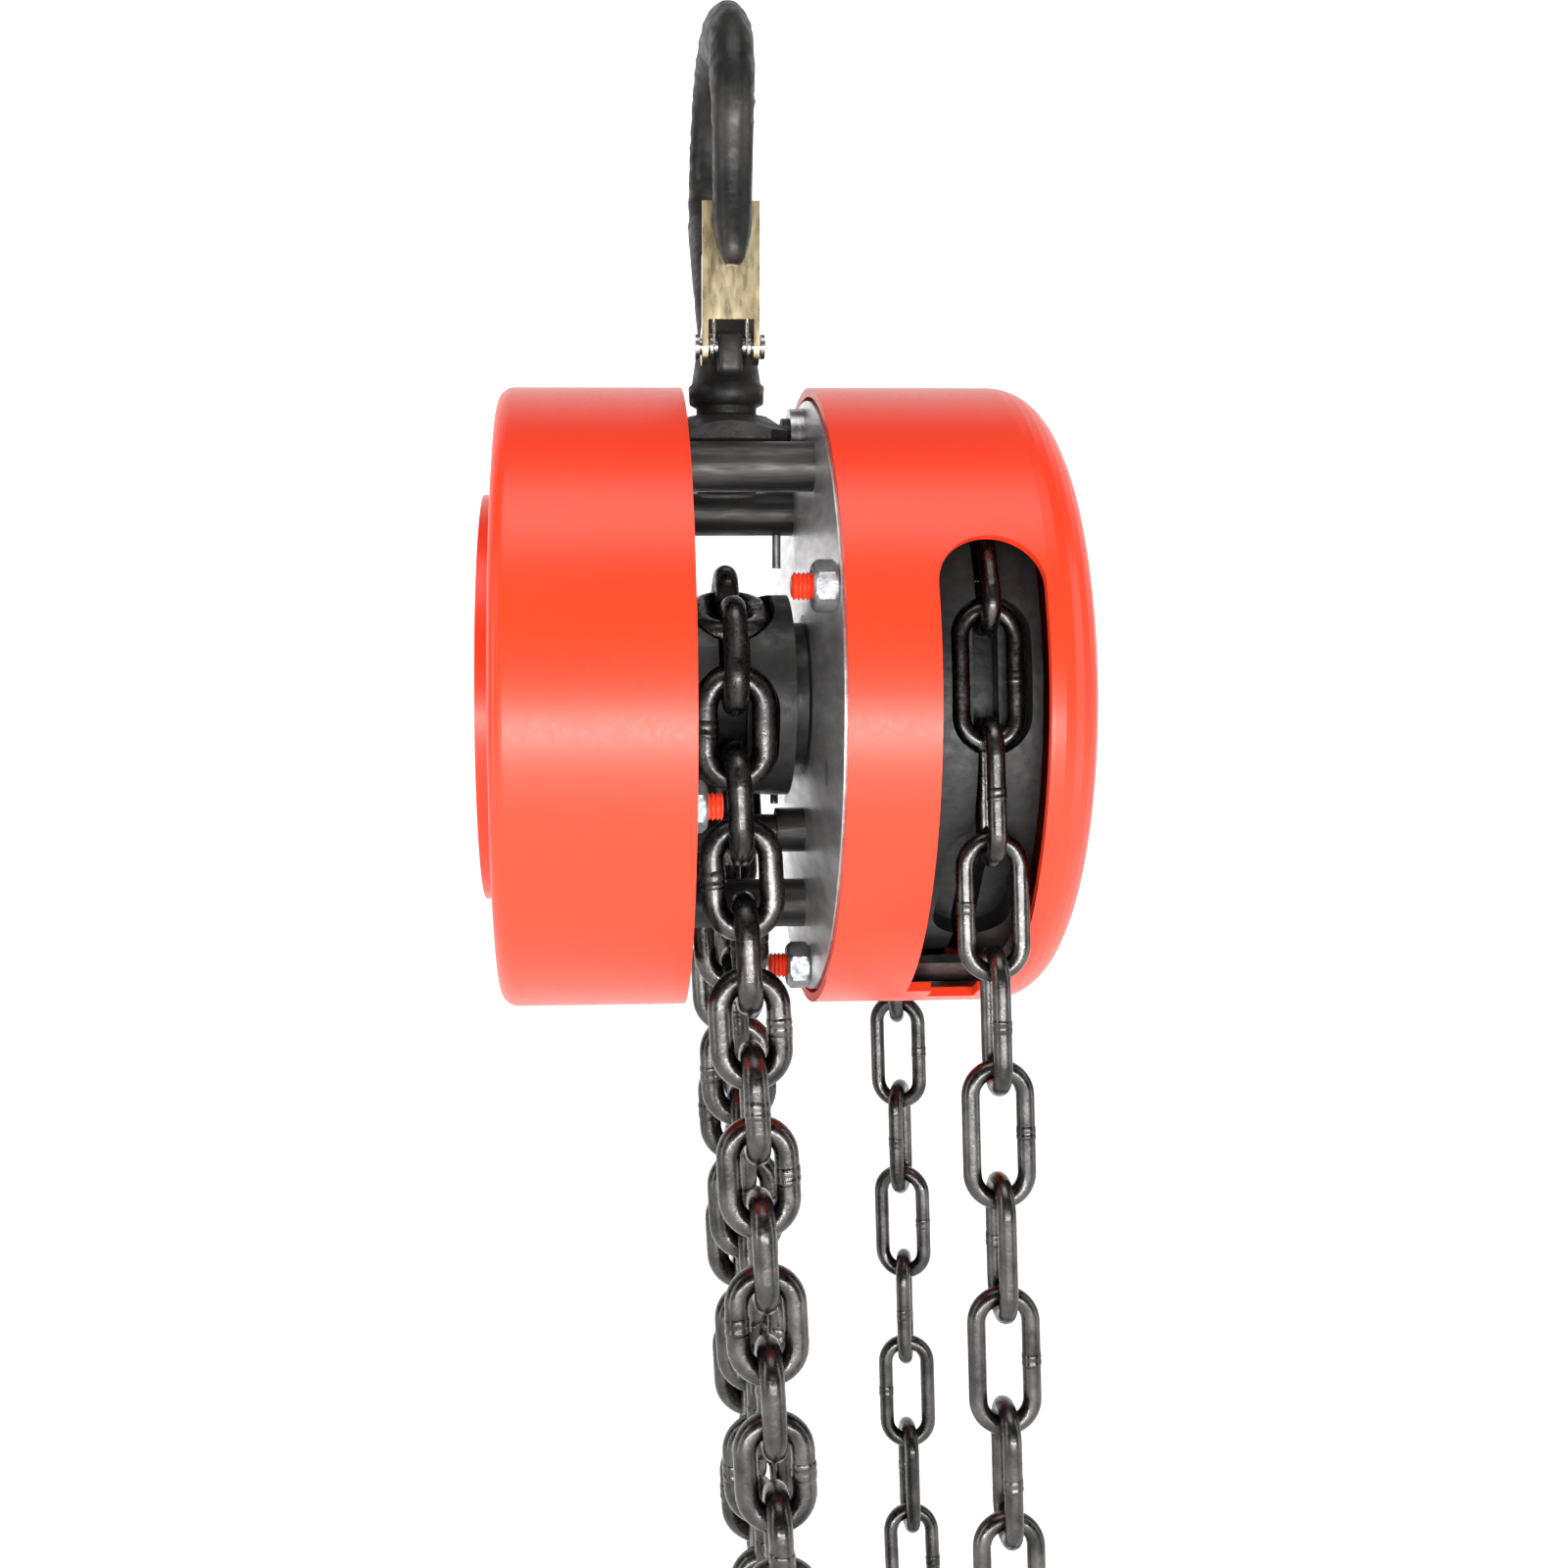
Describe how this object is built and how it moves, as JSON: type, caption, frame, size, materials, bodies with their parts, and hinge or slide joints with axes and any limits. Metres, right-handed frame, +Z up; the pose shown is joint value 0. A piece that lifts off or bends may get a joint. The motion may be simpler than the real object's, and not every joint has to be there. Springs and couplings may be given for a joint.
{
  "type": "hand chain hoist",
  "caption": "Manual chain hoist: top hook, open frame between two drum covers, load chain with swivel hook, and an endless hand chain.",
  "frame": {"origin": "top hook's seat, on the plane of the load chain", "axes": "+Z up, -Y towards the front (the side of the load chain's working fall), +X from the gear cover towards the hand wheel cover"},
  "size_m": [0.135, 0.152, 0.5893],
  "materials": {
    "cover_paint": "satin",
    "plate_steel": "brushed, zinc plated",
    "forged_black": "forged, blackened",
    "chain_load": "oiled, dark",
    "chain_hand": "oiled, dark",
    "zinc_steel": "zinc plated",
    "pin_steel": "machined",
    "stay_steel": "dark, oiled",
    "latch_zinc": "yellow zinc plated",
    "spring_wire": "bright wire",
    "gear_steel": "machined, greased",
    "wheel_iron": "as cast",
    "bush_bronze": "machined",
    "friction_lining": "pressed fibre lining"
  },
  "bodies": {
    "top_hook": {"top_hook": "forged_black", "hook_nut": "zinc_steel", "hook_lock_pin": "pin_steel", "top_latch_pin": "pin_steel", "top_latch_spring": "spring_wire"},
    "top_latch": {"top_latch": "latch_zinc"},
    "crosshead": {"crosshead": "forged_black"},
    "frame": {"gear_side_plate": "plate_steel", "wheel_side_plate": "plate_steel", "upper_front_stay": "stay_steel", "upper_rear_stay": "stay_steel", "lower_stay": "stay_steel", "stay_nuts": "zinc_steel", "split_pins": "pin_steel", "trunnion_washers": "pin_steel", "sheave_bearings": "gear_steel", "chain_stripper": "stay_steel", "chain_anchor_pin": "pin_steel", "gear_cover": "cover_paint", "gear_cover_studs": "cover_paint", "gear_cover_nuts": "zinc_steel", "wheel_cover": "cover_paint", "wheel_cover_studs": "cover_paint", "wheel_cover_nuts": "zinc_steel", "gear_end_plate": "plate_steel", "gear_posts": "zinc_steel", "shaft_end_bush": "bush_bronze", "hand_chain_guide": "wheel_iron", "pawl_pins": "zinc_steel", "pawl_springs": "spring_wire", "pawl_clips": "zinc_steel", "load_chain_wrap": "chain_load", "load_chain_slack": "chain_load", "hand_chain_wrap": "chain_hand", "hand_chain_loop": "chain_hand"},
    "drive": {"pinion_shaft": "gear_steel", "brake_hub": "gear_steel", "friction_discs": "friction_lining", "hand_wheel": "wheel_iron", "wheel_nut": "zinc_steel"},
    "ratchet": {"ratchet_disc": "gear_steel"},
    "pawl_a": {"pawl_a": "gear_steel"},
    "pawl_b": {"pawl_b": "gear_steel"},
    "disc_gear_a": {"disc_gear_a": "gear_steel", "disc_pinion_a": "gear_steel"},
    "disc_gear_b": {"disc_gear_b": "gear_steel", "disc_pinion_b": "gear_steel"},
    "sheave": {"load_sheave": "wheel_iron", "load_gear": "gear_steel", "retaining_ring": "zinc_steel", "shaft_bushes": "bush_bronze"},
    "load_fall": {"load_chain_fall": "chain_load", "hook_block": "forged_black", "block_bolts": "zinc_steel", "chain_pin": "pin_steel"},
    "bottom_hook": {"bottom_hook": "forged_black", "bottom_latch_pin": "pin_steel", "bottom_latch_spring": "spring_wire"},
    "bottom_latch": {"bottom_latch": "latch_zinc"}
  },
  "joints": [
    {"name": "hook_swivel", "type": "hinge", "parent": "top_hook", "child": "crosshead", "pos_m": [0, 0, -0.09], "axis": [0, 0, 1], "continuous": true},
    {"name": "hoist_swing", "type": "hinge", "parent": "crosshead", "child": "frame", "pos_m": [0, 0, -0.091], "axis": [1, 0, 0], "range_deg": [-15, 15]},
    {"name": "top_latch_hinge", "type": "hinge", "parent": "top_hook", "child": "top_latch", "pos_m": [0, -0.011, -0.07], "axis": [-1, 0, 0], "range_deg": [0, 35], "stiffness_Nm_per_rad": 0.05, "springref_deg": -34.38, "deforming": ["top_latch_spring"]},
    {"name": "hand_wheel_spin", "type": "hinge", "parent": "frame", "child": "drive", "pos_m": [0, 0, -0.155], "axis": [1, 0, 0], "continuous": true, "deforming": ["hand_chain_wrap"]},
    {"name": "ratchet_spin", "type": "hinge", "parent": "frame", "child": "ratchet", "pos_m": [0, 0, -0.155], "axis": [1, 0, 0], "continuous": true},
    {"name": "pawl_a_lift", "type": "hinge", "parent": "frame", "child": "pawl_a", "pos_m": [0, -0.04417, -0.17108], "axis": [1, 0, 0], "range_deg": [0, 12], "stiffness_Nm_per_rad": 0.05, "springref_deg": -28.65, "deforming": ["pawl_springs"]},
    {"name": "pawl_b_lift", "type": "hinge", "parent": "frame", "child": "pawl_b", "pos_m": [0, 0.04417, -0.13892], "axis": [1, 0, 0], "range_deg": [0, 12], "stiffness_Nm_per_rad": 0.05, "springref_deg": -28.65, "deforming": ["pawl_springs"]},
    {"name": "disc_gear_a_spin", "type": "hinge", "parent": "frame", "child": "disc_gear_a", "pos_m": [0, -0.03693, -0.14849], "axis": [1, 0, 0], "continuous": true},
    {"name": "disc_gear_b_spin", "type": "hinge", "parent": "frame", "child": "disc_gear_b", "pos_m": [0, 0.03693, -0.16151], "axis": [1, 0, 0], "continuous": true},
    {"name": "sheave_spin", "type": "hinge", "parent": "frame", "child": "sheave", "pos_m": [0, 0, -0.155], "axis": [1, 0, 0], "continuous": true, "deforming": ["load_chain_wrap"]},
    {"name": "load_fall_swing", "type": "hinge", "parent": "frame", "child": "load_fall", "pos_m": [0, -0.02318, -0.17418], "axis": [1, 0, 0], "range_deg": [-20, 2]},
    {"name": "bottom_hook_swivel", "type": "hinge", "parent": "load_fall", "child": "bottom_hook", "pos_m": [0.02043, -0.02318, -0.55789], "axis": [0.0523, 0, -0.9986], "continuous": true},
    {"name": "bottom_latch_hinge", "type": "hinge", "parent": "bottom_hook", "child": "bottom_latch", "pos_m": [0.01676, -0.01218, -0.48799], "axis": [-0.9986, 0, -0.0523], "range_deg": [0, 35], "stiffness_Nm_per_rad": 0.05, "springref_deg": -34.38, "deforming": ["bottom_latch_spring"]}
  ],
  "couplings": [
    {"joint": "disc_gear_a_spin", "follows": "hand_wheel_spin", "ratio": -0.25},
    {"joint": "disc_gear_b_spin", "follows": "hand_wheel_spin", "ratio": -0.25},
    {"joint": "sheave_spin", "follows": "hand_wheel_spin", "ratio": 0.078947}
  ]
}
